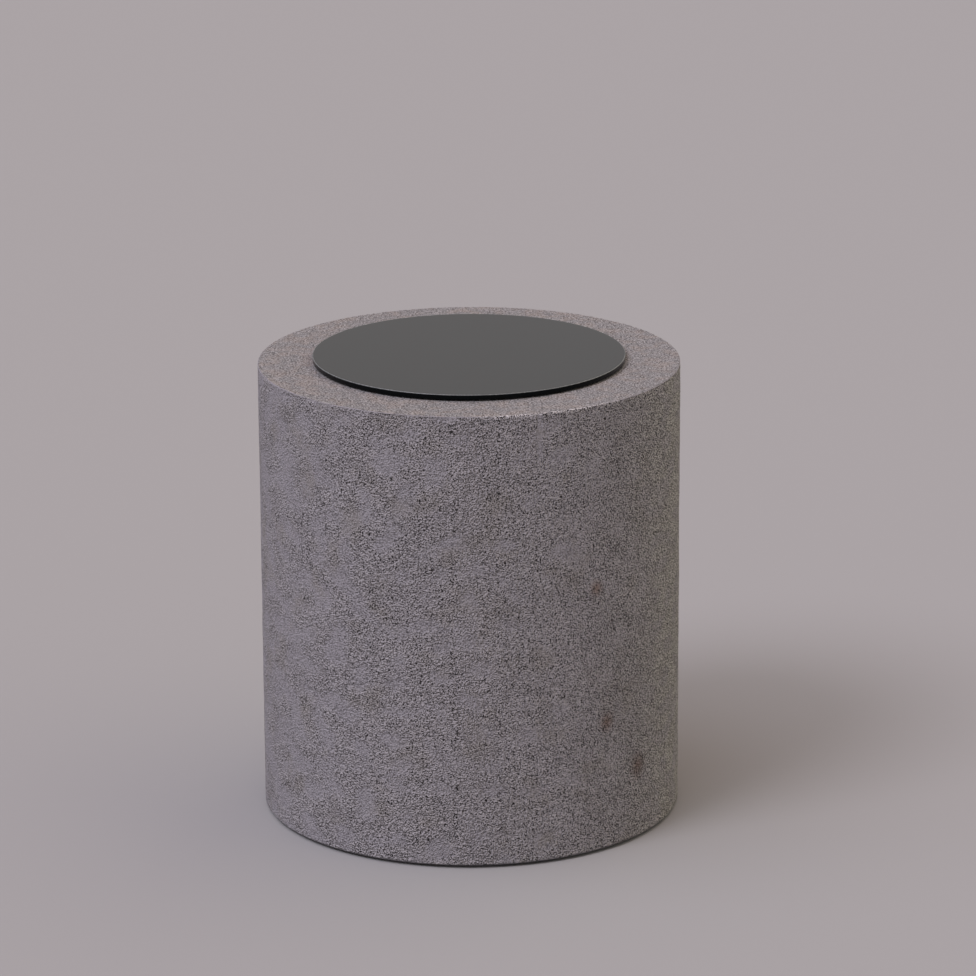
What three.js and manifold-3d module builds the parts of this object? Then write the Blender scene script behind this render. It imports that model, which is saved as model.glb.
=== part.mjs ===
// Drum side table: a hollow drum of cast stone on four screw-down levelling feet,
// with a loose round top of black glass resting on clear bumpers.
// Millimetres, +Z up, origin on the floor at the centre of the drum.
import * as THREE from "three";
import { mergeVertices } from "three/addons/utils/BufferGeometryUtils.js";
import Module from "manifold-3d";

const wasm = await Module();
wasm.setup();

// ---- Driving dimensions ----
const OVERALL_HEIGHT = 450;
const DRUM_DIAMETER = 405;
const GLASS_DIAMETER = 300;
const GLASS_THICKNESS = 5;
const BUMPER_THICKNESS = 1.5;
const FLOOR_GAP = 3; // between the floor and the drum's lower rim
const WALL = 16; // thickness of the drum's side
const DECK = 25; // thickness of the drum's closed top
const FOOT_COUNT = 4;
const FOOT_CIRCLE_RADIUS = 165; // from the drum's axis to each foot's axis
const FIT_GAP = 0.3; // between pieces that are pressed or screwed together

// ---- Drum ----
const DRUM_RADIUS = DRUM_DIAMETER / 2;
const DRUM_TOP = OVERALL_HEIGHT - GLASS_THICKNESS - BUMPER_THICKNESS;
const INNER_RADIUS = DRUM_RADIUS - WALL;
const TOP_ARRIS = 0.8;
const RIM_CHAMFER = 2;
const RIB_RADIUS = 20; // each rib ends in a half round about a foot's axis
const RIB_FOOT_HEIGHT = 22; // the ribs stop here, which leaves room for the feet

// ---- Levelling feet, with M10 threads ----
const THREAD_RADIUS = 4.8;
const BORE_RADIUS = 5.2;
const PAD_RADIUS = 16;
const PAD_HEIGHT = 9;
const PAD_RIM_HEIGHT = 3.5;
const PAD_NECK_RADIUS = 9.5;
const BALL_RADIUS = 4.6;
const BALL_HEIGHT = 6.4; // the ball's centre above the floor
const NECK_RADIUS = 3;
const COLLAR_BOTTOM = 11;
const COLLAR_TOP = 16;
const COLLAR_FLATS = 14;
const STUD_TOP = 52;
const NUT_THICKNESS = 5;
const NUT_FLATS = 16;
const INSERT_RADIUS = 7;
const INSERT_LENGTH = 20;
const STUD_CLEARANCE_DEPTH = 34; // of the blind hole above a rib's foot

// ---- Glass top and its bumpers ----
const GLASS_ARRIS = 0.5;
const BUMPER_COUNT = 4;
const BUMPER_CIRCLE_RADIUS = 120;
const BUMPER_RADIUS = 6;
const BUMPER_CROWN_RADIUS = 4.4;

// ---- Facets round each kind of turned piece ----
const DRUM_FACETS = 128;
const GLASS_FACETS = 96;
const PAD_FACETS = 24;
const STUD_FACETS = 16;
const BUMPER_FACETS = 20;
const RIB_FACETS = 10;

const castStone = new THREE.MeshStandardMaterial({ color: 0x857e80, roughness: 0.92, metalness: 0 });
const blackGlass = new THREE.MeshStandardMaterial({ color: 0x090b0b, roughness: 0.06, metalness: 0 });
const clearPolymer = new THREE.MeshStandardMaterial({ color: 0xd9dcda, roughness: 0.3, metalness: 0 });
const zincSteel = new THREE.MeshStandardMaterial({ color: 0xb4b7b9, roughness: 0.35, metalness: 1 });
const brass = new THREE.MeshStandardMaterial({ color: 0xb9924a, roughness: 0.38, metalness: 1 });
const nylon = new THREE.MeshStandardMaterial({ color: 0x1c1c1e, roughness: 0.6, metalness: 0 });

// A closed geometry as a solid that can be joined and cut.
function solidOf(geometry) {
  const bare = geometry.clone();
  bare.deleteAttribute("normal");
  bare.deleteAttribute("uv");
  const merged = mergeVertices(bare, 1e-4);
  return new wasm.Manifold(
    new wasm.Mesh({
      numProp: 3,
      vertProperties: merged.attributes.position.array,
      triVerts: new Uint32Array(merged.index.array),
    }),
  );
}

// A solid as a geometry that a THREE.Mesh can show.
function geometryOf(solid) {
  const mesh = solid.getMesh();
  const geometry = new THREE.BufferGeometry();
  geometry.setAttribute("position", new THREE.BufferAttribute(mesh.vertProperties, 3));
  geometry.setIndex(new THREE.BufferAttribute(mesh.triVerts, 1));
  geometry.computeVertexNormals();
  return geometry;
}

// A profile of [radius, height] pairs, listed upwards, turned about Z.
function turned(profile, facets) {
  const points = profile.map(([radius, height]) => new THREE.Vector2(radius, height));
  return new THREE.LatheGeometry(points, facets).rotateX(Math.PI / 2);
}

// An upright cylinder between two heights.
function cylinder(radius, bottom, top, facets) {
  const height = top - bottom;
  const shape = new THREE.CylinderGeometry(radius, radius, height, facets);
  return shape.rotateX(Math.PI / 2).translate(0, 0, bottom + height / 2);
}

// An upright hexagonal prism, sized across its flats.
function hexagon(flats, bottom, top) {
  return cylinder(flats / Math.sqrt(3), bottom, top, 6);
}

function atAngle(radius, angle, geometry) {
  return geometry.rotateZ(angle).translate(radius * Math.cos(angle), radius * Math.sin(angle), 0);
}

function angleOf(index, count, start = 0) {
  return start + (index * 2 * Math.PI) / count;
}

// The hollow's outline seen from above: a circle with a round-ended rib reaching in at each foot.
function ribbedOutline() {
  const outline = new THREE.Shape();
  const halfAngle = Math.asin(RIB_RADIUS / INNER_RADIUS);
  for (let i = 0; i < FOOT_COUNT; i++) {
    const angle = angleOf(i, FOOT_COUNT);
    const next = angleOf(i + 1, FOOT_COUNT);
    const x = FOOT_CIRCLE_RADIUS * Math.cos(angle);
    const y = FOOT_CIRCLE_RADIUS * Math.sin(angle);
    outline.absarc(x, y, RIB_RADIUS, angle - Math.PI / 2, angle + Math.PI / 2, true);
    outline.absarc(0, 0, INNER_RADIUS, angle + halfAngle, next - halfAngle, false);
  }
  return outline;
}

// One insert's pocket and the clearance hole above it, for the stud's tip.
function insertPocket() {
  const foot = RIB_FOOT_HEIGHT;
  const pocket = cylinder(INSERT_RADIUS + FIT_GAP, foot - 1, foot + INSERT_LENGTH + FIT_GAP, PAD_FACETS);
  const hole = cylinder(BORE_RADIUS + FIT_GAP, foot - 1, foot + STUD_CLEARANCE_DEPTH, PAD_FACETS);
  return solidOf(pocket).add(solidOf(hole));
}

function drumShell() {
  const profile = [
    [0, FLOOR_GAP],
    [DRUM_RADIUS - RIM_CHAMFER, FLOOR_GAP],
    [DRUM_RADIUS, FLOOR_GAP + RIM_CHAMFER],
    [DRUM_RADIUS, DRUM_TOP - TOP_ARRIS],
    [DRUM_RADIUS - TOP_ARRIS, DRUM_TOP],
    [0, DRUM_TOP],
  ];
  const ribbed = new THREE.ExtrudeGeometry(ribbedOutline(), {
    depth: DRUM_TOP - DECK,
    bevelEnabled: false,
    curveSegments: RIB_FACETS,
  });
  const mouth = cylinder(INNER_RADIUS, 0, RIB_FOOT_HEIGHT, DRUM_FACETS);
  let shell = solidOf(turned(profile, DRUM_FACETS)).subtract(solidOf(ribbed)).subtract(solidOf(mouth));
  for (let i = 0; i < FOOT_COUNT; i++) {
    const angle = angleOf(i, FOOT_COUNT);
    const pocket = atAngle(FOOT_CIRCLE_RADIUS, angle, geometryOf(insertPocket()));
    shell = shell.subtract(solidOf(pocket));
  }
  return geometryOf(shell);
}

function glassTop() {
  const radius = GLASS_DIAMETER / 2;
  const bottom = OVERALL_HEIGHT - GLASS_THICKNESS;
  const profile = [
    [0, bottom],
    [radius - GLASS_ARRIS, bottom],
    [radius, bottom + GLASS_ARRIS],
    [radius, OVERALL_HEIGHT - GLASS_ARRIS],
    [radius - GLASS_ARRIS, OVERALL_HEIGHT],
    [0, OVERALL_HEIGHT],
  ];
  return turned(profile, GLASS_FACETS);
}

// A clear self-adhesive dot with a flat crown, stuck to the drum's top.
function glassBumper() {
  const profile = [
    [0, DRUM_TOP],
    [BUMPER_RADIUS, DRUM_TOP],
    [BUMPER_RADIUS, DRUM_TOP + BUMPER_THICKNESS / 3],
    [BUMPER_CROWN_RADIUS, DRUM_TOP + BUMPER_THICKNESS],
    [0, DRUM_TOP + BUMPER_THICKNESS],
  ];
  return turned(profile, BUMPER_FACETS);
}

// A brass bush moulded into the foot of a rib.
function threadedInsert() {
  const bottom = RIB_FOOT_HEIGHT;
  const body = cylinder(INSERT_RADIUS, bottom, bottom + INSERT_LENGTH, PAD_FACETS);
  const bore = cylinder(BORE_RADIUS, bottom - 1, bottom + INSERT_LENGTH + 1, PAD_FACETS);
  return geometryOf(solidOf(body).subtract(solidOf(bore)));
}

// A thin nut on the stud, tightened up against the insert.
function lockNut() {
  const top = RIB_FOOT_HEIGHT - FIT_GAP;
  const bottom = top - NUT_THICKNESS;
  const bore = cylinder(BORE_RADIUS, bottom - 1, top + 1, PAD_FACETS);
  return geometryOf(solidOf(hexagon(NUT_FLATS, bottom, top)).subtract(solidOf(bore)));
}

// The stud: a ball that the pad swivels on, a hexagonal collar for a spanner, and the thread.
function glideStud() {
  const ballSteps = 6;
  const lowest = -Math.PI / 2;
  const highest = Math.acos(NECK_RADIUS / BALL_RADIUS);
  const profile = [];
  for (let i = 0; i <= ballSteps; i++) {
    const angle = lowest + ((highest - lowest) * i) / ballSteps;
    const radius = i === 0 ? 0 : BALL_RADIUS * Math.cos(angle);
    profile.push([radius, BALL_HEIGHT + BALL_RADIUS * Math.sin(angle)]);
  }
  profile.push([NECK_RADIUS, COLLAR_BOTTOM + 1]);
  profile.push([THREAD_RADIUS, COLLAR_BOTTOM + 1]);
  profile.push([THREAD_RADIUS, STUD_TOP - 1]);
  profile.push([THREAD_RADIUS - 1, STUD_TOP]);
  profile.push([0, STUD_TOP]);
  const collar = hexagon(COLLAR_FLATS, COLLAR_BOTTOM, COLLAR_TOP);
  return geometryOf(solidOf(turned(profile, STUD_FACETS)).add(solidOf(collar)));
}

// The foot's pad: a cone with a flat sole, and a socket for the stud's ball.
function glidePad() {
  const soleEdge = 0.8;
  const socketRadius = BALL_RADIUS + 2 * FIT_GAP;
  const socketBottom = BALL_HEIGHT - BALL_RADIUS - FIT_GAP;
  const profile = [
    [0, 0],
    [PAD_RADIUS - soleEdge, 0],
    [PAD_RADIUS, soleEdge],
    [PAD_RADIUS, PAD_RIM_HEIGHT],
    [PAD_NECK_RADIUS, PAD_HEIGHT],
    [socketRadius, PAD_HEIGHT],
    [socketRadius, socketBottom],
    [0, socketBottom],
  ];
  return turned(profile, PAD_FACETS);
}

const table = new THREE.Group();

function addPiece(parent, name, geometry, material) {
  const mesh = new THREE.Mesh(geometry, material);
  mesh.name = name;
  parent.add(mesh);
}

addPiece(table, "drum_shell", drumShell(), castStone);
addPiece(table, "glass_top", glassTop(), blackGlass);

for (let i = 0; i < BUMPER_COUNT; i++) {
  const place = new THREE.Group();
  const angle = angleOf(i, BUMPER_COUNT, Math.PI / BUMPER_COUNT);
  place.position.set(BUMPER_CIRCLE_RADIUS * Math.cos(angle), BUMPER_CIRCLE_RADIUS * Math.sin(angle), 0);
  addPiece(place, `glass_bumper_${i + 1}`, glassBumper(), clearPolymer);
  table.add(place);
}

for (let i = 0; i < FOOT_COUNT; i++) {
  const foot = new THREE.Group();
  const angle = angleOf(i, FOOT_COUNT);
  foot.position.set(FOOT_CIRCLE_RADIUS * Math.cos(angle), FOOT_CIRCLE_RADIUS * Math.sin(angle), 0);
  foot.rotation.z = angle;
  addPiece(foot, `threaded_insert_${i + 1}`, threadedInsert(), brass);
  addPiece(foot, `lock_nut_${i + 1}`, lockNut(), zincSteel);
  addPiece(foot, `glide_stud_${i + 1}`, glideStud(), zincSteel);
  addPiece(foot, `glide_pad_${i + 1}`, glidePad(), nylon);
  table.add(foot);
}

export default table;
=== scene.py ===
"""The looks of a drum side table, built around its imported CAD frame.

A hollow drum of cast stone carries a loose round plate of black glass and stands on four screw-down
feet. Metres, +Z up, the origin on the floor at the drum's centre, the front towards -Y. Angles round
the drum start at the front and grow towards the right-hand side, which is +X.
"""
import math

import bpy
import numpy as np
from mathutils import Matrix, Vector, noise


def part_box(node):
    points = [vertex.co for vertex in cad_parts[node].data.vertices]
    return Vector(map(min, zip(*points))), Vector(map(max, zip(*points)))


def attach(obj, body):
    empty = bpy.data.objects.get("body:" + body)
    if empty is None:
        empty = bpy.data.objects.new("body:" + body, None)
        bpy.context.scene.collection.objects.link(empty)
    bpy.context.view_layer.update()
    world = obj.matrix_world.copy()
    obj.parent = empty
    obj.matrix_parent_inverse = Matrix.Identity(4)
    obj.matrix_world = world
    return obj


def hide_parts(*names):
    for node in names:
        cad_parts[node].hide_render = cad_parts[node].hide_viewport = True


MM = 0.001
FULL_TURN = 2 * math.pi
FOOT_COUNT = 4
BUMPER_COUNT = 4
SEED = 11

# ---- Drum: what the frame's boxes don't give ----
WALL = 16 * MM
DECK = 25 * MM
TOP_ARRIS = 0.8 * MM
ARRIS_STEPS = 4
RIM_CHAMFER = 2 * MM  # inside the lower rim
RIM_ARRIS = 1 * MM  # outside the lower rim
RIB_RADIUS = 20 * MM
RIB_FOOT = 22 * MM  # the height that the ribs reach down to
RIB_SIDE_POINTS = 5
RIB_END_POINTS = 17
WALL_POINTS = 60  # from rib to rib
HOLLOW_FILLET = 7 * MM  # under the hollow's ceiling
FILLET_POINTS = 6
CEILING_BORDER = 1.4 * MM  # the flat ring inside the fillet, which keeps the ceiling's own face simple
HOLLOW_LEVELS = 64
HOLLOW_WAVES = ((0.45 * MM, 28), (0.15 * MM, 90))  # how far they stand out, and how many to a metre
MOUTH_OVERLAP = 6 * MM  # of the hollow with the round mouth below it
MOUTH_DROP = 10 * MM  # of the mouth's cutter below the floor
MOUTH_COLUMNS = 360
SKIN_PITCH = 1.5 * MM  # between the vertices of the drum's outer skin
RING_WIDTH = 64 * MM  # of the top's modelled ring, which reaches in under the glass

# ---- Relief of the drum's skin ----
WAVE_RELIEF = 0.10 * MM
LUMP_RELIEF = 0.04 * MM
GRAIN_RELIEF = 0.045 * MM
PIT_DEPTH = 0.08 * MM
RING_LUMP_RELIEF = 0.02 * MM
RING_GRAIN_RELIEF = 0.012 * MM
SEAM_GROOVE = 0.14 * MM
SEAM_RIDGE = 0.10 * MM

# ---- How pitted the drum's side is ----
LEAST_PITTING = 0.38
PATCH_PITTING = 0.42  # what the ragged patches add
PATCH_EASE = (-1.6, 0.9)  # the levels at which a patch begins, and is full
PATCH_LEVEL = 0.55  # raises the level everywhere
PATCH_RAGGEDNESS = 0.35
SMOOTH_FALL = 1.15  # lowers the level at the smoothest place
ROUGH_PITTING = 0.48  # what the roughest place adds
STRIP_SMOOTHING = 0.65  # the share that the strip beside the front seam takes away

# ---- Marks on the drum, placed in degrees round from the front ----
SMOOTHEST, SMOOTH_SPREAD = -62, 34
ROUGHEST, ROUGH_SPREAD = 74, 38
PAINTED_LIGHT_SPREAD = 21  # of the paler colour that paints light falling on the right-hand side, about the roughest place
PAINTED_LIGHT_LEAST = 0.35  # the share of it that is left between its patches
PAINTED_LIGHT_EASE = (-1.2, 0.6)  # the levels at which its patches begin, and are full
FRONT_SEAM, RIGHT_SEAM = 18.3, 68.2
FRONT_SEAM_WIDTH, RIGHT_SEAM_WIDTH = 0.9 * MM, 1.1 * MM
FRONT_SEAM_FADE = (34 * MM, 56 * MM)  # how far below the top it begins to fade, and is gone
SEAM_STRIP = 2.2 * MM  # from the front seam to the middle of the smooth strip beside it
STRIP_FADE = (1.8 * MM, 3.2 * MM)  # how far from its middle the strip begins to fade, and is gone
STAINS = (  # each with its place, height and reach
    (35.9, 265 * MM, 10.8 * MM),
    (39.5, 130 * MM, 12.6 * MM),
    (52, 75 * MM, 16.2 * MM),
)
STAIN_STRETCH = 1.2  # how much taller than wide the stains are

# ---- Chips out of the top edge: the smallest and largest of their half widths and depths ----
CHIP_COUNT = 170
CHIP_HALF_WIDTHS = (0.6 * MM, 2.0 * MM)
CHIP_DEPTHS = (0.2 * MM, 0.9 * MM)
FRONT_CHIPS = (6.0, 7.5, 9.6, 11.5, 13.2, 16.4, 18.6, 21.2, 24.0)  # places of the run of them in front
FRONT_CHIP_HALF_WIDTHS = (1.0 * MM, 2.4 * MM)
FRONT_CHIP_DEPTHS = (0.5 * MM, 1.2 * MM)
CHIP_FADE = (0.3, 1.5)  # half widths from its middle at which a chip begins to fade, and is gone
CHIP_HEIGHT = 0.9 * MM  # how far chips reach over the edge, down the side and in over the top
EDGE_GLINT_HEIGHT = 1.5 * MM  # the same for the run of painted glints and painted shade along the edge
EDGE_GLINT_STARTS = (-2, 8)  # where that run begins, and is full
EDGE_GLINT_ENDS = (34, 50)  # where it begins to end, and has ended

# ---- Glass ----
GLASS_ARRIS = 0.7 * MM
GLASS_COLUMNS = 360
GLASS_ARRIS_POINTS = 6
GLASS_IOR = 1.52
EDGE_SLOT, ARRIS_HIGHLIGHT_SLOT = 1, 2  # places of the edge's material and of the arris's painted highlight, after the face's

# ---- Bumpers, in shares of their own radius and thickness ----
BUMPER_COLUMNS = 48
BUMPER_FOOT_RADIUS = 0.98
BUMPER_FOOT_HEIGHT = 0.12  # where it is at its widest
SHOULDER_HEIGHT = 0.35  # where the crown's curve begins
CROWN_RADIUS = 0.73  # where that curve ends in a flat
CROWN_POINTS = 7

# ---- Feet ----
FOOT_COLUMNS = 72
THREAD_PITCH = 1.5 * MM
THREAD_ROWS = 8  # to each pitch
THREAD_CREST = 4.8 * MM
THREAD_ROOT = 4.1 * MM
THREAD_ZIGZAG = 1.35  # its profile's zigzag in depths of the thread, before crest and root cut it flat
THREAD_OVERSHOOT = 0.12  # how much of that is outside the crest
THREAD_GROOVE = 0.35 * MM  # how deep it is cut into an insert's bore
BORE_RADIUS = 5.2 * MM
POCKET_RADIUS = 7.3 * MM
POCKET_TOP = 42.3 * MM
POCKET_DROP = 2 * MM  # of a pocket's cutter below the rib
POCKET_COLUMNS = 48
HOLE_RADIUS = 5.5 * MM
HOLE_TOP = 56 * MM
BALL_RADIUS = 4.6 * MM
BALL_HEIGHT = 6.4 * MM
BALL_FLAT = 0.12  # half the angle of the small flat under the ball
BALL_POINTS = 12
NECK_RADIUS = 3 * MM
NECK_FILLET = 0.5 * MM
COLLAR_BOTTOM = 11 * MM
COLLAR_TOP = 16 * MM
COLLAR_FLATS = 14 * MM
COLLAR_FACE = 0.96  # how wide its round end faces are, as a share of the width across its flats
STUD_SHANK = 0.6 * MM  # between the collar and the thread
STUD_POINT = 1.2 * MM  # above the thread
STUD_TAPER = 0.3 * MM  # how much thinner than the thread's root the point ends
NUT_FLATS = 16 * MM
NUT_FACE = 0.95  # the same for a nut
NUT_LEAD_IN = 0.4 * MM
HEXAGON_EDGE = 0.2 * MM  # from a hexagon's end faces to where its chamfers meet its flats
KNURL_DEPTH = 0.25 * MM
KNURL_COLUMNS = 3  # from one groove of the knurl to the next
INSERT_BAND = 0.2 * MM  # how far in the plain bands are, at both ends of the knurl
INSERT_EDGE = 0.6 * MM  # the chamfers at both ends

# ---- Pads: points of the outline are given as how far in from the pad's radius, and how far up ----
PAD_COLUMNS = 96
PAD_SOLE = ((5 * MM, 0.3 * MM), (4.6 * MM, 0), (0.8 * MM, 0), (0.25 * MM, 0.25 * MM))
PAD_SKIRT = ((0, 0.9 * MM), (0, 3 * MM), (0.3 * MM, 3.4 * MM))
PAD_SHOULDER = (1 * MM, 3.75 * MM)
PAD_CONE_BOTTOM = 3.5 * MM
PAD_FLUTES = 12
FLUTE_DEPTH = 0.35 * MM
SHOULDER_FLUTES = 0.2  # how much of the flutes' depth lowers the shoulder
PAD_NECK_RADIUS = 9.5 * MM
PAD_NECK_EDGE = 0.4 * MM
PAD_LIP = 0.5 * MM  # the lead-in of the ball's socket
SOCKET_CLEARANCE = 0.6 * MM
SOCKET_BOWL = ((1, 4 * MM), (0.8, 2.2 * MM), (0.3, 1.5 * MM))  # shares of its radius, and heights

# ---- Colours of the cast stone ----
SMOOTH_STONE = (0.310, 0.296, 0.317, 1)
PITTED_STONE = (0.376, 0.357, 0.370, 1)
CLOUDED_STONE = (0.262, 0.249, 0.264, 1)
WARM_STONE = (0.268, 0.246, 0.222, 1)
# painted light: the paler colour where light from the right falls on the side
PAINTED_LIGHT_STONE = (0.520, 0.502, 0.463, 1)
STAINED_STONE = (0.225, 0.165, 0.142, 1)
# painted highlight: the lit tops of the raised specks
PEAK_HIGHLIGHT_COLOUR = (0.50, 0.48, 0.50, 1)
# painted shade: in the pits and in the gaps between crumbs
PIT_SHADE_COLOUR = (0.010, 0.008, 0.008, 1)
GAP_SHADE_COLOUR = (0.020, 0.017, 0.016, 1)
# painted shade: in the creases
CREASE_SHADE_COLOUR = (0.090, 0.080, 0.080, 1)
RING_COOL = (0.200, 0.199, 0.204, 1)
RING_WARM = (0.240, 0.214, 0.200, 1)
DARK_SAND = (0.055, 0.050, 0.048, 1)
LIGHT_SAND = (0.360, 0.350, 0.350, 1)
# painted glints and painted shade on the broken top edge
EDGE_GLINT_COLOUR = (0.62, 0.60, 0.60, 1)
EDGE_SHADE_COLOUR = (0.012, 0.010, 0.010, 1)
INSIDE_DARK = (0.150, 0.143, 0.140, 1)
INSIDE_LIGHT = (0.215, 0.206, 0.200, 1)
# painted shade: in the air holes inside
HOLE_SHADE_COLOUR = (0.065, 0.060, 0.057, 1)

# ---- Camera ----
CAMERA_DISTANCE = 4.489
CAMERA_HEIGHT = 1.654
CAMERA_SIDESTEP = 0.0176
CAMERA_PITCH = math.radians(16.61)
CAMERA_ROLL = -0.0048
CAMERA_LENS = 178.8
SENSOR_WIDTH = 36

# ---- Light and floor ----
SKY = (  # the sine of the height above the horizon, and the studio's colour there
    (0.00, (0.376, 0.347, 0.356, 1)),
    (0.20, (0.430, 0.410, 0.408, 1)),
    (0.50, (0.430, 0.410, 0.408, 1)),
    (0.85, (0.730, 0.530, 0.520, 1)),
)
SUNS = (  # name, degrees left of the front, degrees up, width in degrees, strength and colour
    ("key", 48, 47.5, 24, 1.21, (0.96, 0.91, 1.0)),
    ("wide", 60, 60, 60, 1.12, (0.75, 0.83, 1.0)),
    ("fill", -108, 32, 90, 0.78, (1.0, 0.95, 0.66)),
)
FLOOR_COLOUR = (0.33, 0.33, 0.33, 1)
FLOOR_REACH = 60
FLOOR_DROP = 0.1 * MM  # keeps the floor clear of the pads' soles


# ======== Meshes ========

def mesh_object(name, vertices, faces):
    mesh = bpy.data.meshes.new(name)
    mesh.from_pydata(vertices, [], faces)
    piece = bpy.data.objects.new(name, mesh)
    bpy.context.scene.collection.objects.link(piece)
    return piece


def round_angles(columns):
    """Angles right round from the front, towards the right-hand side."""
    return np.arange(columns) * FULL_TURN / columns


def ring_points(radii, heights, angles):
    """Points of a grid of rings. radii and heights hold a row for each ring, with one or all columns."""
    radii, heights = np.broadcast_arrays(radii, heights)
    radii = np.broadcast_to(radii, (len(radii), len(angles)))
    heights = np.broadcast_to(heights, radii.shape)
    return np.stack([radii * np.sin(angles), -radii * np.cos(angles), heights], axis=-1)


def ring_faces(rows, columns, capped):
    """Quads between neighbouring rings, listed so that they face outwards where the rings go up.
    Capped grids end in a flat face, and others join their last ring to their first."""
    faces = []
    for row in range(rows - 1 if capped else rows):
        low = row * columns
        high = ((row + 1) % rows) * columns
        for column in range(columns):
            after = (column + 1) % columns
            faces.append((low + column, low + after, high + after, high + column))
    if capped:
        last = (rows - 1) * columns
        faces.append(tuple(range(columns))[::-1])
        faces.append(tuple(range(last, last + columns)))
    return faces


def ring_object(name, radii, heights, columns, capped=True):
    radii = np.asarray(radii, float).reshape(len(radii), -1)
    heights = np.asarray(heights, float).reshape(len(heights), -1)
    points = ring_points(radii, heights, round_angles(columns))
    return mesh_object(name, points.reshape(-1, 3).tolist(), ring_faces(len(radii), columns, capped))


def smooth(piece, sharper_than=40):
    piece.data.shade_smooth()
    piece.data.set_sharp_from_angle(angle=math.radians(sharper_than))


def cut(piece, cutters):
    """Takes each cutter's solid out of piece for good."""
    for cutter in cutters:
        modifier = piece.modifiers.new("cut", "BOOLEAN")
        modifier.operation = "DIFFERENCE"
        modifier.solver = "MANIFOLD"
        modifier.object = cutter
    graph = bpy.context.evaluated_depsgraph_get()
    mesh = bpy.data.meshes.new_from_object(piece.evaluated_get(graph))
    piece.modifiers.clear()
    piece.data = mesh
    for cutter in cutters:
        bpy.data.objects.remove(cutter)


def finish_piece(piece, node, body, material):
    """Puts a new piece in the place of a CAD node."""
    piece.data.materials.clear()
    piece.data.materials.append(material)
    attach(piece, body)
    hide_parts(node)


def eased(values, low, high):
    """0 up to low, 1 from high, and a smooth climb between."""
    t = np.clip((values - low) / (high - low), 0, 1)
    return t * t * (3 - 2 * t)


def bell(distance, width):
    """1 at no distance, about a third at one width and almost nothing from two widths on."""
    return np.exp(-((distance / width) ** 2))


def wrapped(angles):
    """The same angles, each between half a turn back and half a turn on."""
    return (angles + math.pi) % FULL_TURN - math.pi


# ======== Drum ========

def rough_field(random, shape, shortest, longest, stretch=1.0):
    """A bumpy field that repeats in both directions, of mean 0 and spread 1, with these wavelengths.
    Its features are longer around the drum than up it by the factor stretch."""
    spectrum = np.fft.fft2(random.standard_normal(shape))
    along = np.fft.fftfreq(shape[0], SKIN_PITCH)[:, None]
    around = np.fft.fftfreq(shape[1], SKIN_PITCH)[None, :]
    frequency = np.hypot(along, around * stretch)
    spectrum[(frequency < 1 / longest) | (frequency > 1 / shortest)] = 0
    field = np.fft.ifft2(spectrum).real
    return field / field.std()


def skin_profile(radius, bottom, top):
    """The drum's outer profile from its lower edge, up the side and in over the top.
    Each row gives a radius, a height, and the direction outwards as two shares."""
    side_bottom, side_top = bottom + RIM_ARRIS, top - TOP_ARRIS
    ring_edge = radius - TOP_ARRIS
    side_rows = round((side_top - side_bottom) / SKIN_PITCH)
    ring_rows = round(RING_WIDTH / SKIN_PITCH)
    rows = [(radius - RIM_ARRIS, bottom, 0, 0), (radius - RIM_ARRIS / 2, bottom + RIM_ARRIS / 2, 0, 0)]
    for height in np.linspace(side_bottom, side_top, side_rows):
        rows.append((radius, height, 1, 0))
    for step in range(1, ARRIS_STEPS):
        angle = step / ARRIS_STEPS * math.pi / 2
        out, up = math.cos(angle), math.sin(angle)
        rows.append((ring_edge + TOP_ARRIS * out, side_top + TOP_ARRIS * up, out, up))
    for reach in np.linspace(ring_edge, ring_edge - RING_WIDTH, ring_rows):
        rows.append((reach, top, 0, 1))
    return np.array(rows)


def chip_depths(random, angles, radius):
    """How deep the top edge is chipped at each angle: small chips all round, and a run of them in front."""
    chips = []
    for _ in range(CHIP_COUNT):
        place = random.uniform(0, FULL_TURN)
        chips.append((place, random.uniform(*CHIP_HALF_WIDTHS), random.uniform(*CHIP_DEPTHS)))
    for degrees in FRONT_CHIPS:
        half_width = random.uniform(*FRONT_CHIP_HALF_WIDTHS)
        chips.append((math.radians(degrees), half_width, random.uniform(*FRONT_CHIP_DEPTHS)))
    depths = np.zeros(len(angles))
    for place, half_width, depth in chips:
        away = np.abs(wrapped(angles - place)) * radius
        depths = np.maximum(depths, depth * (1 - eased(away / half_width, *CHIP_FADE)))
    return depths


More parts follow.
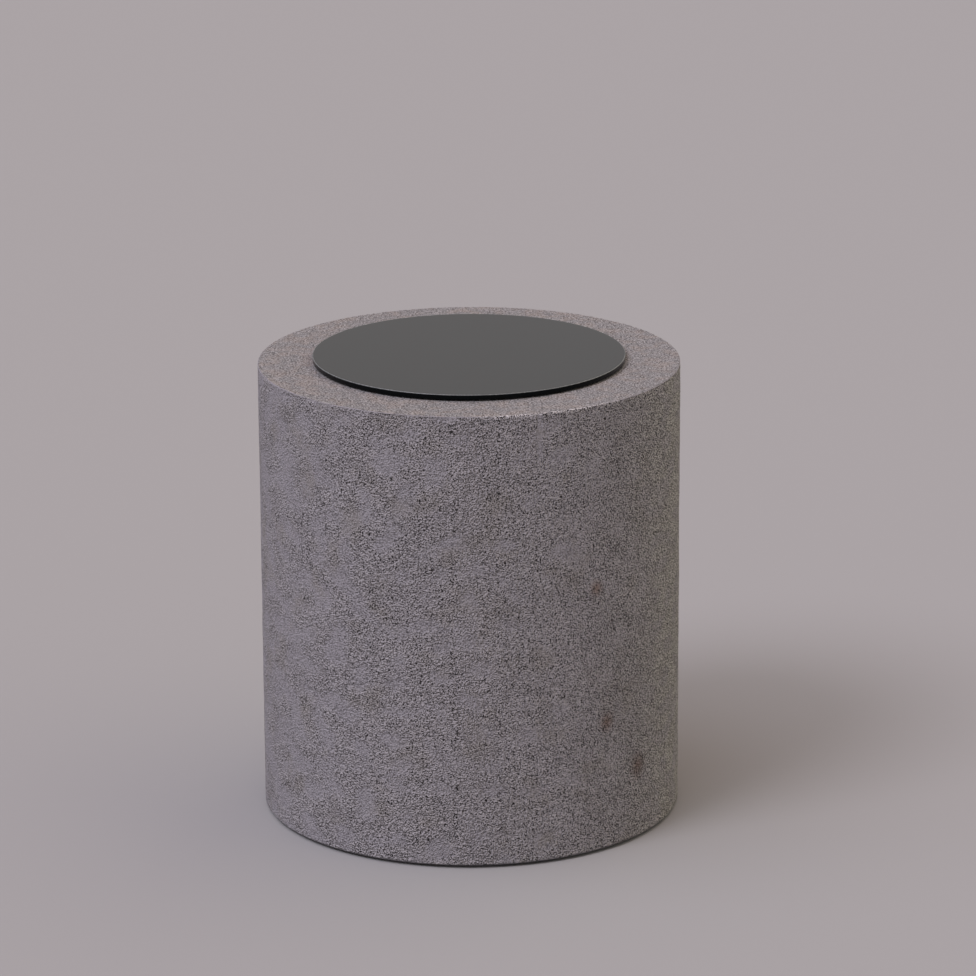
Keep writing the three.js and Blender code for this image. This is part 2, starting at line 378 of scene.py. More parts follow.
class DrumSkin:
    """The drum's outer surface as a grid: a row for each step of its profile, a column for each angle.
    The rough fields and the masks have a value for each point of the grid."""

    def __init__(self, radius, bottom, top):
        self.radius = radius
        self.angles = round_angles(round(FULL_TURN * radius / SKIN_PITCH))
        profile = skin_profile(radius, bottom, top)
        self.reach, self.height, self.out, self.up = (values[:, None] for values in profile.T)
        self.shape = (len(profile), len(self.angles))
        self.side = np.ones(self.shape) * (self.out > 0.99)
        self.ring = np.ones(self.shape) * (self.up > 0.99)

        random = np.random.default_rng(SEED)
        self.patches = rough_field(random, self.shape, 22 * MM, 120 * MM, stretch=1.4)
        self.ragged = rough_field(random, self.shape, 5 * MM, 12 * MM)
        self.grain = rough_field(random, self.shape, 3.2 * MM, 7 * MM)
        self.lumps = rough_field(random, self.shape, 8 * MM, 22 * MM)
        self.waves = rough_field(random, self.shape, 45 * MM, 150 * MM)
        self.chips = chip_depths(random, self.angles, radius)

        self.front_seam_reach = 1 - eased(top - self.height, *FRONT_SEAM_FADE)
        self.pitting = self.pitted()

    def right_of(self, degrees):
        """How far round the surface each column is from a place."""
        return (self.angles - math.radians(degrees)) * self.radius

    def from_roughest(self):
        """The angle of each column from the roughest place, halved behind it for a slower change there."""
        away = self.angles - math.radians(ROUGHEST)
        return np.where(away > 0, away / 2, away)

    def from_arris(self):
        """How far each row is along the profile from the middle of the top arris."""
        steps = np.hypot(np.diff(self.reach[:, 0]), np.diff(self.height[:, 0]))
        along = np.concatenate([[0], np.cumsum(steps)])
        arris_row = int(np.argmax(self.up[:, 0] > 0.5))
        return np.abs(along - along[arris_row])[:, None]

    def pitted(self):
        """How pitted the side is: in ragged patches that are weaker at the smoothest place, and more at
        the roughest place. A strip beside the front seam has few pits."""
        smoothest = bell(wrapped(self.angles - math.radians(SMOOTHEST)), math.radians(SMOOTH_SPREAD))
        level = self.patches + PATCH_RAGGEDNESS * self.ragged + PATCH_LEVEL - SMOOTH_FALL * smoothest
        pitting = LEAST_PITTING + PATCH_PITTING * eased(level, *PATCH_EASE)
        pitting = pitting + ROUGH_PITTING * bell(self.from_roughest(), math.radians(ROUGH_SPREAD))
        from_strip = np.abs(self.right_of(FRONT_SEAM) - SEAM_STRIP)
        strip = (1 - eased(from_strip, *STRIP_FADE)) * self.front_seam_reach
        return pitting * (1 - STRIP_SMOOTHING * strip) * self.side

    def painted_light(self):
        """Where the side is painted paler, as light falling on it from the right, in patches about the
        roughest place.
        """
        patchy = PAINTED_LIGHT_LEAST + (1 - PAINTED_LIGHT_LEAST) * eased(self.patches, *PAINTED_LIGHT_EASE)
        return bell(self.from_roughest(), math.radians(PAINTED_LIGHT_SPREAD)) * patchy * self.side

    def stained(self):
        """Where the side has brown stains."""
        stained = np.zeros(self.shape)
        for degrees, height, reach in STAINS:
            away = np.hypot(self.right_of(degrees), (self.height - height) / STAIN_STRETCH)
            stained = np.maximum(stained, 1 - eased(away, 0, reach))
        return stained * self.side

    def edge_glint_and_shade(self):
        """Where the top edge is speckled with painted glints and painted shade, on the right of the front.
        """
        started = eased(self.angles, *np.radians(EDGE_GLINT_STARTS))
        ended = eased(self.angles, *np.radians(EDGE_GLINT_ENDS))
        return bell(self.from_arris(), EDGE_GLINT_HEIGHT) * started * (1 - ended)

    def relief(self):
        """How far each point stands out from the plain profile."""
        front_seam = bell(self.right_of(FRONT_SEAM), FRONT_SEAM_WIDTH) * self.front_seam_reach
        right_seam = bell(self.right_of(RIGHT_SEAM), RIGHT_SEAM_WIDTH)
        side = WAVE_RELIEF * self.waves + LUMP_RELIEF * self.lumps
        side = side + self.pitting * (GRAIN_RELIEF * self.grain - PIT_DEPTH)
        side = side - SEAM_GROOVE * front_seam + SEAM_RIDGE * right_seam
        ring = RING_GRAIN_RELIEF * self.grain + RING_LUMP_RELIEF * self.lumps
        return self.side * side + self.ring * ring - self.chips * bell(self.from_arris(), CHIP_HEIGHT)

    def solid(self):
        """The surface as a closed solid, with the masks that its material reads."""
        relief = self.relief()
        points = ring_points(self.reach + self.out * relief, self.height + self.up * relief, self.angles)
        faces = ring_faces(*self.shape, capped=True)
        skin = mesh_object("stone_drum", points.reshape(-1, 3).tolist(), faces)
        masks = {
            "pitting": self.pitting,
            "ring": self.ring,
            "outer": np.ones(self.shape),
            "stain": self.stained(),
            "painted_light": self.painted_light(),
            "edge_glint_and_shade": self.edge_glint_and_shade(),
        }
        for name, values in masks.items():
            attribute = skin.data.attributes.new(name, "FLOAT", "POINT")
            attribute.data.foreach_set("value", values.astype(np.float32).ravel())
        return skin


def hollow_outline(inner_radius, foot_radius):
    """The hollow seen from above, as points: a circle with a round-ended rib reaching in at each foot."""
    half_angle = math.asin(RIB_RADIUS / inner_radius)
    wall_reach = inner_radius * math.cos(half_angle)
    points = []
    for foot in range(FOOT_COUNT):
        angle = foot * FULL_TURN / FOOT_COUNT
        along = np.array([math.cos(angle), math.sin(angle)])
        across = np.array([-along[1], along[0]])
        for reach in np.linspace(wall_reach, foot_radius, RIB_SIDE_POINTS)[:-1]:
            points.append(reach * along - RIB_RADIUS * across)
        for turn in np.linspace(-math.pi / 2, -3 * math.pi / 2, RIB_END_POINTS):
            from_foot = RIB_RADIUS * (math.cos(turn) * along + math.sin(turn) * across)
            points.append(foot_radius * along + from_foot)
        for reach in np.linspace(foot_radius, wall_reach, RIB_SIDE_POINTS)[1:]:
            points.append(reach * along + RIB_RADIUS * across)
        for turn in np.linspace(half_angle, FULL_TURN / FOOT_COUNT - half_angle, WALL_POINTS)[1:-1]:
            points.append(inner_radius * (math.cos(turn) * along + math.sin(turn) * across))
    return np.array(points)


def outward_directions(outline):
    """The direction out of a loop that runs anticlockwise, at each of its points."""
    along = np.roll(outline, -1, axis=0) - np.roll(outline, 1, axis=0)
    out = np.stack([along[:, 1], -along[:, 0]], axis=-1)
    return out / np.linalg.norm(out, axis=1)[:, None]


def distance_to_corners(outline, inner_radius):
    """How far each point of the hollow's outline is from the nearest corner between a rib and the wall."""
    half_angle = math.asin(RIB_RADIUS / inner_radius)
    distances = []
    for foot in range(FOOT_COUNT):
        for side in (-1, 1):
            angle = foot * FULL_TURN / FOOT_COUNT + side * half_angle
            corner = inner_radius * np.array([math.cos(angle), math.sin(angle)])
            distances.append(np.linalg.norm(outline - corner, axis=1))
    return np.min(distances, axis=0)


def hollow_levels(ceiling):
    """The hollow's levels from its lower end up, each as the fillet's inset there and a height.
    The last one is the inner edge of a flat border round the ceiling."""
    start = RIB_FOOT - MOUTH_OVERLAP
    levels = [(0.0, z) for z in np.linspace(start, ceiling - HOLLOW_FILLET, HOLLOW_LEVELS)]
    for angle in np.linspace(0, math.pi / 2, FILLET_POINTS)[1:]:
        inset = HOLLOW_FILLET * (1 - math.cos(angle))
        levels.append((inset, ceiling - HOLLOW_FILLET * (1 - math.sin(angle))))
    levels.append((HOLLOW_FILLET + CEILING_BORDER, ceiling))
    return levels


def hollow_cutter(inner_radius, foot_radius, ceiling):
    """The drum's hollow as a solid, slightly uneven as cast stone is on its inner side. Its fillet under
    the ceiling is smaller in the corners, so that the rings stay clear of themselves there."""
    outline = hollow_outline(inner_radius, foot_radius)
    out = outward_directions(outline)
    corner_distance = distance_to_corners(outline, inner_radius)
    levels = hollow_levels(ceiling)
    vertices = []
    for inset, z in levels:
        for point, direction, distance in zip(outline, out, corner_distance):
            where = Vector((point[0], point[1], z))
            uneven = sum(height * noise.noise(where * waves) for height, waves in HOLLOW_WAVES)
            room = 0.45 * distance + 0.15 * inset  # little in a corner, and more away from it
            x, y = point + direction * (uneven - min(inset, room))
            vertices.append((x, y, z))
    return mesh_object("hollow", vertices, ring_faces(len(levels), len(outline), capped=True))


def mouth_cutter(inner_radius, bottom):
    """The round mouth below the ribs, with the rim's inner chamfer."""
    radii = [inner_radius + RIM_CHAMFER, inner_radius + RIM_CHAMFER, inner_radius, inner_radius]
    heights = [-MOUTH_DROP, bottom, bottom + RIM_CHAMFER, RIB_FOOT]
    return ring_object("mouth", radii, heights, MOUTH_COLUMNS)


def pocket_cutter(place):
    """A foot's pocket for its insert, with the stud's blind hole above."""
    radii = [POCKET_RADIUS, POCKET_RADIUS, HOLE_RADIUS, HOLE_RADIUS]
    heights = [RIB_FOOT - POCKET_DROP, POCKET_TOP, POCKET_TOP, HOLE_TOP]
    pocket = ring_object("pocket", radii, heights, POCKET_COLUMNS)
    pocket.location = place
    return pocket


def cast_drum(places, material):
    low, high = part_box("drum_shell")
    radius = high.x
    inner_radius = radius - WALL
    foot_radius = places[0].length
    skin = DrumSkin(radius, low.z, high.z).solid()
    cutters = [hollow_cutter(inner_radius, foot_radius, high.z - DECK), mouth_cutter(inner_radius, low.z)]
    cutters += [pocket_cutter(place) for place in places]
    cut(skin, cutters)
    smooth(skin, sharper_than=50)
    finish_piece(skin, "drum_shell", "drum", material)


# ======== Glass and bumpers ========

def glass_plate(face_material, edge_material, arris_highlight_material):
    """A round plate whose edge is ground flat and polished, with a small rounded arris above and below."""
    low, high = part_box("glass_top")
    rounding = high.x - GLASS_ARRIS
    inner = high.x - 4 * GLASS_ARRIS
    radii, heights = [inner], [low.z]
    for centre, start in ((low.z + GLASS_ARRIS, -math.pi / 2), (high.z - GLASS_ARRIS, 0)):
        for angle in np.linspace(start, start + math.pi / 2, GLASS_ARRIS_POINTS):
            radii.append(rounding + GLASS_ARRIS * math.cos(angle))
            heights.append(centre + GLASS_ARRIS * math.sin(angle))
    radii.append(inner)
    heights.append(high.z)
    plate = ring_object("glass_plate", radii, heights, GLASS_COLUMNS)
    smooth(plate, sharper_than=25)
    finish_piece(plate, "glass_top", "glass", face_material)
    plate.data.materials.append(edge_material)
    plate.data.materials.append(arris_highlight_material)
    # The upper arris takes the light grey material, a painted highlight along the glass's top edge.
    for face in plate.data.polygons:
        if face.center.xy.length > rounding:
            on_edge = face.center.z < high.z - 0.9 * GLASS_ARRIS
            face.material_index = EDGE_SLOT if on_edge else ARRIS_HIGHLIGHT_SLOT


def bumper(index, material):
    """A clear self-adhesive dot with a softly rounded crown."""
    node = f"glass_bumper_{index}"
    low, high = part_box(node)
    radius = (high.x - low.x) / 2
    thickness = high.z - low.z
    crown = radius * CROWN_RADIUS
    shoulder = thickness * SHOULDER_HEIGHT
    radii = [radius * BUMPER_FOOT_RADIUS, radius]
    heights = [0, thickness * BUMPER_FOOT_HEIGHT]
    for angle in np.linspace(0, math.pi / 2, CROWN_POINTS):
        radii.append(crown + (radius - crown) * math.cos(angle))
        heights.append(shoulder + (thickness - shoulder) * math.sin(angle))
    piece = ring_object(f"clear_dot_{index}", radii, heights, BUMPER_COLUMNS)
    piece.location = ((low.x + high.x) / 2, (low.y + high.y) / 2, low.z)
    smooth(piece)
    finish_piece(piece, node, "drum", material)


# ======== Feet ========

def hexagon_radii(flats, angles):
    """The distance from the axis to a hexagon's side at each angle, with a corner at angle 0."""
    sixth = math.pi / 3
    return flats / 2 / np.cos(angles % sixth - sixth / 2)


def chamfered_hexagon(flats, bottom, top, angles):
    """Two rows of a hexagon's side whose corners are turned off at 30 degrees, as a nut's are."""
    radii = hexagon_radii(flats, angles)
    fall = (radii - flats / 2) * math.tan(math.radians(30))
    return [(radii, bottom + HEXAGON_EDGE + fall), (radii, top - HEXAGON_EDGE - fall)]


def threaded_rows(bottom, top, crest, root, angles):
    """Rows of a right-hand thread with flat crests and roots, which runs out smoothly at both ends."""
    rows = []
    steps = round((top - bottom) / (THREAD_PITCH / THREAD_ROWS))
    for height in np.linspace(bottom, top, steps + 1):
        phase = (height / THREAD_PITCH - angles / FULL_TURN) % 1
        zigzag = THREAD_ZIGZAG * np.abs(2 * phase - 1) - THREAD_OVERSHOOT
        depth = np.clip(zigzag, 0, 1)
        run_out = eased(np.array(height), bottom, bottom + THREAD_PITCH)
        run_out = run_out * eased(np.array(top - height), 0, THREAD_PITCH)
        rows.append((crest + (root - crest) * depth * run_out, height))
    return rows


def foot_object(name, rows, place, capped, columns=FOOT_COLUMNS):
    """A turned piece on a foot's axis. Each row gives a radius and a height, for all angles or for each."""
    radii = [np.broadcast_to(radius, columns) for radius, _ in rows]
    heights = [np.broadcast_to(height, columns) for _, height in rows]
    piece = ring_object(name, radii, heights, columns, capped)
    piece.location = (place.x, place.y, 0)
    smooth(piece, sharper_than=32)
    return piece


def stud(index, place, material):
    """A ball end, a neck, a chamfered spanner collar and a right-hand thread, turned as one piece."""
    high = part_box(f"glide_stud_{index}")[1]
    angles = round_angles(FOOT_COLUMNS)
    rows = []
    neck_angle = math.acos(NECK_RADIUS / BALL_RADIUS)
    for angle in np.linspace(-math.pi / 2 + BALL_FLAT, neck_angle, BALL_POINTS):
        rows.append((BALL_RADIUS * math.cos(angle), BALL_HEIGHT + BALL_RADIUS * math.sin(angle)))
    face = COLLAR_FLATS / 2 * COLLAR_FACE
    rows.append((NECK_RADIUS, COLLAR_BOTTOM - NECK_FILLET))
    rows.append((NECK_RADIUS + NECK_FILLET, COLLAR_BOTTOM))
    rows.append((face, COLLAR_BOTTOM))
    rows += chamfered_hexagon(COLLAR_FLATS, COLLAR_BOTTOM, COLLAR_TOP, angles)
    rows.append((face, COLLAR_TOP))
    rows.append((THREAD_CREST, COLLAR_TOP))
    thread_bottom, thread_top = COLLAR_TOP + STUD_SHANK, high.z - STUD_POINT
    rows += threaded_rows(thread_bottom, thread_top, THREAD_CREST, THREAD_ROOT, angles)
    rows.append((THREAD_ROOT - STUD_TAPER, high.z))
    piece = foot_object(f"levelling_stud_{index}", rows, place, capped=True)
    finish_piece(piece, f"glide_stud_{index}", f"stud_{index}", material)


def jam_nut(index, place, material):
    """A thin hexagon nut with chamfered corners and a chamfer at each end of its bore."""
    low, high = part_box(f"lock_nut_{index}")
    face = NUT_FLATS / 2 * NUT_FACE
    mouth = BORE_RADIUS + NUT_LEAD_IN
    rows = [(BORE_RADIUS, high.z - NUT_LEAD_IN), (BORE_RADIUS, low.z + NUT_LEAD_IN), (mouth, low.z)]
    rows.append((face, low.z))
    rows += chamfered_hexagon(NUT_FLATS, low.z, high.z, round_angles(FOOT_COLUMNS))
    rows += [(face, high.z), (mouth, high.z)]
    piece = foot_object(f"jam_nut_{index}", rows, place, capped=False)
    finish_piece(piece, f"lock_nut_{index}", "drum", material)


def insert(index, place, material):
    """A bush with a knurled outside, a chamfered mouth and a thread in its bore."""
    low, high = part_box(f"threaded_insert_{index}")
    radius = (high.x - low.x) / 2
    knurl = radius - KNURL_DEPTH * (np.arange(FOOT_COLUMNS) % KNURL_COLUMNS == 0)
    edge = INSERT_EDGE
    band = radius - INSERT_BAND
    rows = [(BORE_RADIUS + edge, low.z), (radius - edge, low.z), (band, low.z + edge)]
    rows += [(knurl, low.z + 2 * edge), (knurl, high.z - 2 * edge)]
    rows += [(band, high.z - edge), (radius - edge, high.z), (BORE_RADIUS + edge, high.z)]
    groove_radius = BORE_RADIUS + THREAD_GROOVE
    bore = threaded_rows(low.z + edge, high.z - edge, groove_radius, BORE_RADIUS, round_angles(FOOT_COLUMNS))
    rows += bore[::-1]
    piece = foot_object(f"brass_insert_{index}", rows, place, capped=False)
    finish_piece(piece, f"threaded_insert_{index}", "drum", material)


def pad(index, place, material):
    """A moulded pad: a soft-edged sole, a skirt, a fluted cone and the socket for the stud's ball."""
    low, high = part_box(f"glide_pad_{index}")
    radius = (high.x - low.x) / 2
    flutes = FLUTE_DEPTH * (0.5 + 0.5 * np.cos(PAD_FLUTES * round_angles(PAD_COLUMNS)))
    rows = [(radius - inset, height) for inset, height in PAD_SOLE + PAD_SKIRT]
    shoulder_inset, shoulder_height = PAD_SHOULDER
    rows.append((radius - shoulder_inset, shoulder_height - flutes * SHOULDER_FLUTES))
    cone_height = high.z - PAD_LIP - PAD_CONE_BOTTOM
    for share in (0.25, 0.5, 0.75, 1):  # from the pad's radius to the neck's, where the flutes run out
        slope = radius + (PAD_NECK_RADIUS - radius) * share
        rows.append((slope - flutes * (1 - share), PAD_CONE_BOTTOM + cone_height * share))
    socket = BALL_RADIUS + SOCKET_CLEARANCE
    rows.append((PAD_NECK_RADIUS - PAD_NECK_EDGE, high.z))
    rows += [(socket + PAD_LIP, high.z), (socket, high.z - PAD_LIP)]
    rows += [(socket * share, height) for share, height in SOCKET_BOWL]
    piece = foot_object(f"nylon_pad_{index}", rows, place, capped=True, columns=PAD_COLUMNS)
    finish_piece(piece, f"glide_pad_{index}", f"foot_{index}", material)


# ======== Materials ========

class Material:
    """A node material, with short ways to add the nodes that the materials below use."""

    # The Mix node has sockets for each kind of value. These are its sockets for colours.
    MIX_SHARE, MIX_FIRST, MIX_SECOND, MIX_RESULT = 0, 6, 7, 2

    def __init__(self, name):
        self.made = bpy.data.materials.new(name)
        self.made.use_nodes = True
        self.tree = self.made.node_tree
        self.shader = self.tree.nodes["Principled BSDF"]
        self.place = self.add("TexCoord").outputs["Object"]

    def add(self, kind, inputs=None, **settings):
        """A new node. Each input is a constant or another node's output."""
        made = self.tree.nodes.new("ShaderNode" + kind)
        for key, value in settings.items():
            setattr(made, key, value)
        for key, value in (inputs or {}).items():
            self.put(made.inputs[key], value)
        return made

    def put(self, socket, value):
        if isinstance(value, bpy.types.NodeSocket):
            self.tree.links.new(value, socket)
        else:
            socket.default_value = value

    def shade(self, **values):
        """Sets the shader's inputs, such as base_color for Base Color."""
        for key, value in values.items():
            name = key.replace("_", " ").title().replace("Ior", "IOR")
            self.put(self.shader.inputs[name], value)

    def mask(self, name):
        return self.add("Attribute", attribute_name=name).outputs["Fac"]

    def noise(self, size, detail=2.0, roughness=0.5, distortion=0.0):
        """Noise whose features are about size metres across."""
        inputs = {"Vector": self.place, "Scale": 1 / size, "Detail": detail}
        inputs.update({"Roughness": roughness, "Distortion": distortion})
        return self.add("TexNoise", inputs).outputs["Fac"]

    def maths(self, operation, first, second=0.0):
        return self.add("Math", {0: first, 1: second}, operation=operation).outputs[0]

    def times(self, first, second, third=1.0):
        return self.maths("MULTIPLY", self.maths("MULTIPLY", first, second), third)

    def ramp(self, value, low, high, bottom=0.0, top=1.0):
        """Eases from bottom to top as value goes from low to high."""
        inputs = {"Value": value, "From Min": low, "From Max": high, "To Min": bottom, "To Max": top}
        return self.add("MapRange", inputs, interpolation_type="SMOOTHSTEP").outputs["Result"]

    def mix(self, share, first, second):
        """The first colour where share is 0 and the second where it is 1."""
        inputs = {self.MIX_SHARE: share, self.MIX_FIRST: first, self.MIX_SECOND: second}
        return self.add("Mix", inputs, data_type="RGBA").outputs[self.MIX_RESULT]

    def bump(self, height, depth):
        inputs = {"Height": height, "Distance": depth, "Strength": 1.0}
        return self.add("Bump", inputs).outputs["Normal"]


class CastStone(Material):
    """Grey cast stone: a side rough with crumbs and pits, a sandy top, and a plainer inside with air holes.
    Painted shade darkens its pits, crumb gaps, creases and holes, and painted highlights light its specks.
    It reads the masks of DrumSkin, which are all 0 on the inside."""

    def __init__(self):
        super().__init__("cast_stone")
        self.pitting, self.ring, self.outer = self.mask("pitting"), self.mask("ring"), self.mask("outer")
        self.crumbs = self.noise(1.65 * MM, detail=0.0)
        self.specks = self.noise(1.15 * MM, detail=0.5)
        self.sand = self.noise(1.6 * MM, detail=1.5, roughness=0.7)
        self.clouds = self.noise(55 * MM, detail=3.0, roughness=0.6)
        self.creases = self.times(self.short_lines(8 * MM, 0.014), self.outer)
        self.holes = self.air_holes(8 * MM)
        colour = self.mix(self.ring, self.side_colour(), self.ring_colour())
        colour = self.mix(self.outer, self.inside_colour(), self.with_edge_glints(colour))
        self.shade(base_color=colour, roughness=0.92, normal=self.bump(self.height(), 3.9 * MM))
        self.shader.inputs["Specular IOR Level"].default_value = 0.3

    def short_lines(self, size, width):
        """Short curved lines: bits of a noise's middle contour."""
        level = self.maths("SUBTRACT", self.noise(size, detail=1.0), 0.5)
        line = self.ramp(self.maths("ABSOLUTE", level), width, width / 4)
        return self.times(line, self.ramp(self.noise(11 * MM, detail=1.0), 0.56, 0.62))

    def air_holes(self, spacing):
        """Small round holes, scattered about spacing metres apart."""
        cells = self.add("TexVoronoi", {"Vector": self.place, "Scale": 1 / spacing, "Randomness": 1.0})
        size = self.noise(spacing * 2, detail=0.0)
        return self.ramp(self.maths("SUBTRACT", cells.outputs["Distance"], size), -0.38, -0.45)

    def side_colour(self):
        """Clouded grey with its stained places and the paler patch of painted light, then painted highlights
        on the specks and painted shade in the pits, crumb gaps and creases over it.
        """
        colour = self.mix(self.ramp(self.pitting, 0.36, 0.85), SMOOTH_STONE, PITTED_STONE)
        colour = self.mix(self.ramp(self.clouds, 0.35, 0.65, 0.0, 0.2), colour, CLOUDED_STONE)
        warmth = self.noise(38 * MM, detail=3.0, roughness=0.55)
        colour = self.mix(self.ramp(warmth, 0.50, 0.72, 0.0, 0.5), colour, WARM_STONE)
        # Painted light: the side is paler towards the right, where light falls on it.
        colour = self.mix(self.mask("painted_light"), colour, PAINTED_LIGHT_STONE)
        colour = self.mix(self.mask("stain"), colour, STAINED_STONE)
        # Painted highlights on the tops of the raised specks.
        peak_highlights = self.times(self.ramp(self.specks, 0.52, 0.66), self.pitting, 0.25)
        colour = self.mix(peak_highlights, colour, PEAK_HIGHLIGHT_COLOUR)
        # Painted shade in the pits and in the gaps between crumbs.
        pits = self.times(self.ramp(self.specks, 0.47, 0.33), self.pitting, 1.4)
        colour = self.mix(pits, colour, PIT_SHADE_COLOUR)
        gap_shade = self.times(self.ramp(self.crumbs, 0.44, 0.28), self.pitting, 0.5)
        colour = self.mix(gap_shade, colour, GAP_SHADE_COLOUR)
        # Painted shade in the creases.
        return self.mix(self.times(self.creases, 0.45), colour, CREASE_SHADE_COLOUR)

    def ring_colour(self):
        """Sanded grey with a warm blush, full of dark and light grains."""
        blush = self.noise(16 * MM, detail=3.0, roughness=0.6)
        colour = self.mix(self.ramp(blush, 0.42, 0.66), RING_COOL, RING_WARM)
        colour = self.mix(self.ramp(self.sand, 0.50, 0.36), colour, DARK_SAND)
        return self.mix(self.ramp(self.sand, 0.50, 0.64), colour, LIGHT_SAND)

    def with_edge_glints(self, colour):
        """The colour with light specks of painted glint and dark specks of painted shade where the top edge
        is broken.
        """
        edge_glint_and_shade = self.mask("edge_glint_and_shade")
        light = self.times(self.ramp(self.specks, 0.46, 0.56), edge_glint_and_shade)
        dark = self.times(self.ramp(self.specks, 0.46, 0.40), edge_glint_and_shade)
        return self.mix(dark, self.mix(light, colour, EDGE_GLINT_COLOUR), EDGE_SHADE_COLOUR)

    def inside_colour(self):
        colour = self.mix(self.ramp(self.clouds, 0.3, 0.7), INSIDE_DARK, INSIDE_LIGHT)
        # Painted shade in the air holes.
        return self.mix(self.holes, colour, HOLE_SHADE_COLOUR)

    def height(self):
        """What the bump reads: crumbs on the side, sand on the ring, creases on both, and holes inside."""
        rough, sandy = self.times(self.crumbs, self.pitting), self.times(self.sand, self.ring, 0.2)
        height = self.maths("SUBTRACT", self.maths("ADD", rough, sandy), self.times(self.creases, 0.10))
        inside = self.maths("SUBTRACT", 1.0, self.outer)
        return self.maths("SUBTRACT", height, self.times(self.holes, inside, 0.4))


def black_glass():
    glass = Material("black_glass")
    smears = glass.noise(35 * MM, detail=4.0, roughness=0.6, distortion=1.0)
    polish = glass.ramp(smears, 0.3, 0.7, 0.03, 0.09)
    glass.shade(base_color=(0.001, 0.003, 0.0035, 1), roughness=polish, ior=GLASS_IOR)
    return glass.made


def glass_edge():
    """The glass's ground edge, which takes in nearly all the light."""
    edge = Material("glass_edge")
    polish = edge.ramp(edge.noise(0.8 * MM), 0.3, 0.7, 0.12, 0.22)
    edge.shade(base_color=(0.001, 0.002, 0.0025, 1), roughness=polish, ior=GLASS_IOR)
    edge.shader.inputs["Specular IOR Level"].default_value = 0.12
    return edge.made


def ground_arris_highlight():
    """The fine matt line where the glass's upper edge is ground off, made light grey as a painted highlight
    along the edge.
    """
    arris = Material("ground_arris_highlight")
    grinding = arris.ramp(arris.noise(2 * MM), 0.35, 0.65)
    colour = arris.mix(grinding, (0.10, 0.11, 0.11, 1), (0.17, 0.18, 0.18, 1))
    arris.shade(base_color=colour, roughness=0.5)
    return arris.made


def clear_polymer():
    clear = Material("clear_polymer")
    ripple = clear.noise(1.2 * MM)
    clear.shade(
        base_color=(0.86, 0.88, 0.87, 1), roughness=0.22, ior=1.47, transmission_weight=0.8,
        normal=clear.bump(ripple, 0.03 * MM),
    )
    return clear.made


def zinc_steel():
    zinc = Material("zinc_steel")
    spangle = zinc.noise(2.2 * MM, detail=3.0)
    colour = zinc.mix(zinc.ramp(spangle, 0.3, 0.7), (0.40, 0.42, 0.44, 1), (0.56, 0.58, 0.59, 1))
    lines = zinc.noise(0.35 * MM, detail=1.0)
    zinc.shade(
        base_color=colour, metallic=1.0, roughness=zinc.ramp(spangle, 0.3, 0.7, 0.28, 0.42),
        normal=zinc.bump(lines, 0.02 * MM),
    )
    return zinc.made


def brass():
    metal = Material("brass")
    tarnish = metal.noise(3 * MM, detail=3.0)
    colour = metal.mix(metal.ramp(tarnish, 0.4, 0.7), (0.56, 0.36, 0.12, 1), (0.36, 0.22, 0.08, 1))
    metal.shade(base_color=colour, metallic=1.0, roughness=metal.ramp(tarnish, 0.3, 0.7, 0.3, 0.5))
    return metal.made


def nylon():
    moulded = Material("nylon")
    texture = moulded.noise(0.5 * MM, detail=2.0)
    scuffs = moulded.noise(5 * MM, detail=4.0)
    colour = moulded.mix(moulded.ramp(scuffs, 0.5, 0.75), (0.012, 0.012, 0.013, 1), (0.035, 0.035, 0.036, 1))
    moulded.shade(
        base_color=colour, roughness=moulded.ramp(scuffs, 0.4, 0.7, 0.48, 0.65),
        normal=moulded.bump(texture, 0.04 * MM),
    )
    return moulded.made


def pale_floor():
    floor = Material("pale_floor")
    floor.shade(base_color=FLOOR_COLOUR, roughness=1.0)
    floor.shader.inputs["Specular IOR Level"].default_value = 0.0
    return floor.made


# ======== Stage ========

def add_floor():
    signs = ((-1, -1), (1, -1), (1, 1), (-1, 1))
    corners = [(x * FLOOR_REACH, y * FLOOR_REACH, -FLOOR_DROP) for x, y in signs]
    floor = mesh_object("floor", corners, [(0, 1, 2, 3)])
    floor.data.materials.append(pale_floor())


def add_sky():
    """A studio that is as bright as the floor at the horizon, and paler and warmer overhead."""
    world = bpy.data.worlds.new("studio")
    bpy.context.scene.world = world
    world.use_nodes = True
    tree = world.node_tree
    direction = tree.nodes.new("ShaderNodeTexCoord").outputs["Generated"]
    split = tree.nodes.new("ShaderNodeSeparateXYZ")
    tree.links.new(direction, split.inputs[0])
    gradient = tree.nodes.new("ShaderNodeValToRGB")
    tree.links.new(split.outputs["Z"], gradient.inputs["Fac"])
    gradient.color_ramp.interpolation = "EASE"
    stops = gradient.color_ramp.elements
    while len(stops) < len(SKY):
        stops.new(1.0)
    for stop, (height, colour) in zip(stops, SKY):
        stop.position = height
        stop.color = colour
    tree.links.new(gradient.outputs["Color"], tree.nodes["Background"].inputs["Color"])


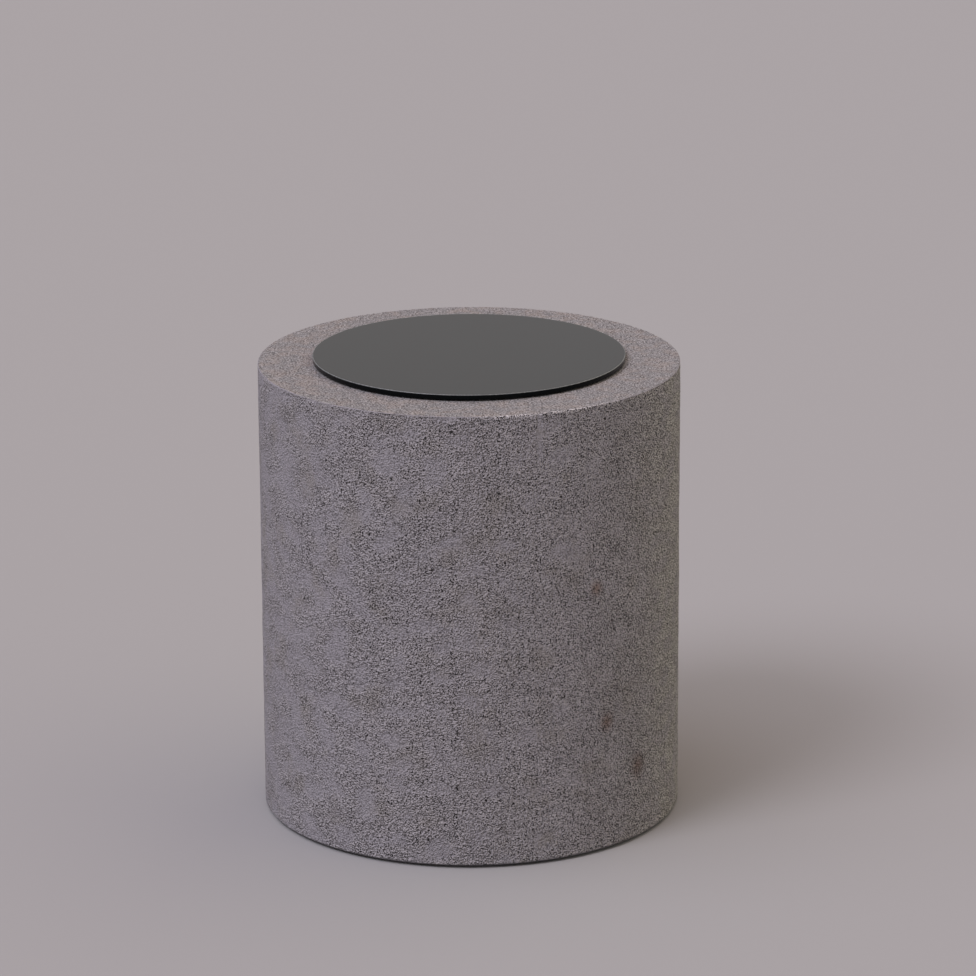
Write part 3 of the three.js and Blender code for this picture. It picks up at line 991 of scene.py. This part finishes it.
def add_sun(name, left_of_front, up, width, strength, colour):
    lamp = bpy.data.lights.new(name, "SUN")
    lamp.energy = strength
    lamp.color = colour
    lamp.angle = math.radians(width)
    sun = bpy.data.objects.new(name, lamp)
    bpy.context.scene.collection.objects.link(sun)
    left, height = math.radians(left_of_front), math.radians(up)
    flat = math.cos(height)
    towards = Vector((-flat * math.sin(left), -flat * math.cos(left), math.sin(height)))
    sun.rotation_euler = towards.to_track_quat("Z", "Y").to_euler()


def add_camera():
    lens = bpy.data.cameras.new("camera")
    lens.lens = CAMERA_LENS
    lens.sensor_width = SENSOR_WIDTH
    camera = bpy.data.objects.new("camera", lens)
    bpy.context.scene.collection.objects.link(camera)
    camera.location = (CAMERA_SIDESTEP, -CAMERA_DISTANCE, CAMERA_HEIGHT)
    tilt = Matrix.Rotation(math.pi / 2 - CAMERA_PITCH, 3, "X") @ Matrix.Rotation(CAMERA_ROLL, 3, "Z")
    camera.rotation_euler = tilt.to_euler()
    bpy.context.scene.camera = camera


# ======== The table ========

def foot_axes():
    """Where each foot's axis meets the floor."""
    places = []
    for number in range(1, FOOT_COUNT + 1):
        low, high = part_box(f"glide_pad_{number}")
        middle = (low + high) / 2
        places.append(Vector((middle.x, middle.y, 0)))
    return places


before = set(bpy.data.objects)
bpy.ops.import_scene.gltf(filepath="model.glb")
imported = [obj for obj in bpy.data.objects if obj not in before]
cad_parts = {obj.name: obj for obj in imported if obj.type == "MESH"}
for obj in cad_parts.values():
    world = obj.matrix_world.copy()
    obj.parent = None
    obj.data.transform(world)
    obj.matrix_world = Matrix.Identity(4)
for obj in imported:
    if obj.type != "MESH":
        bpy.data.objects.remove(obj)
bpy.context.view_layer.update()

add_camera()
add_floor()
add_sky()
for sun in SUNS:
    add_sun(*sun)
bpy.context.scene.view_settings.view_transform = "Standard"

steel, bush_brass, pad_nylon, clear = zinc_steel(), brass(), nylon(), clear_polymer()
foot_places = foot_axes()
cast_drum(foot_places, CastStone().made)
glass_plate(black_glass(), glass_edge(), ground_arris_highlight())
for number in range(1, BUMPER_COUNT + 1):
    bumper(number, clear)
for number, foot_place in enumerate(foot_places, start=1):
    insert(number, foot_place, bush_brass)
    jam_nut(number, foot_place, steel)
    stud(number, foot_place, steel)
    pad(number, foot_place, pad_nylon)
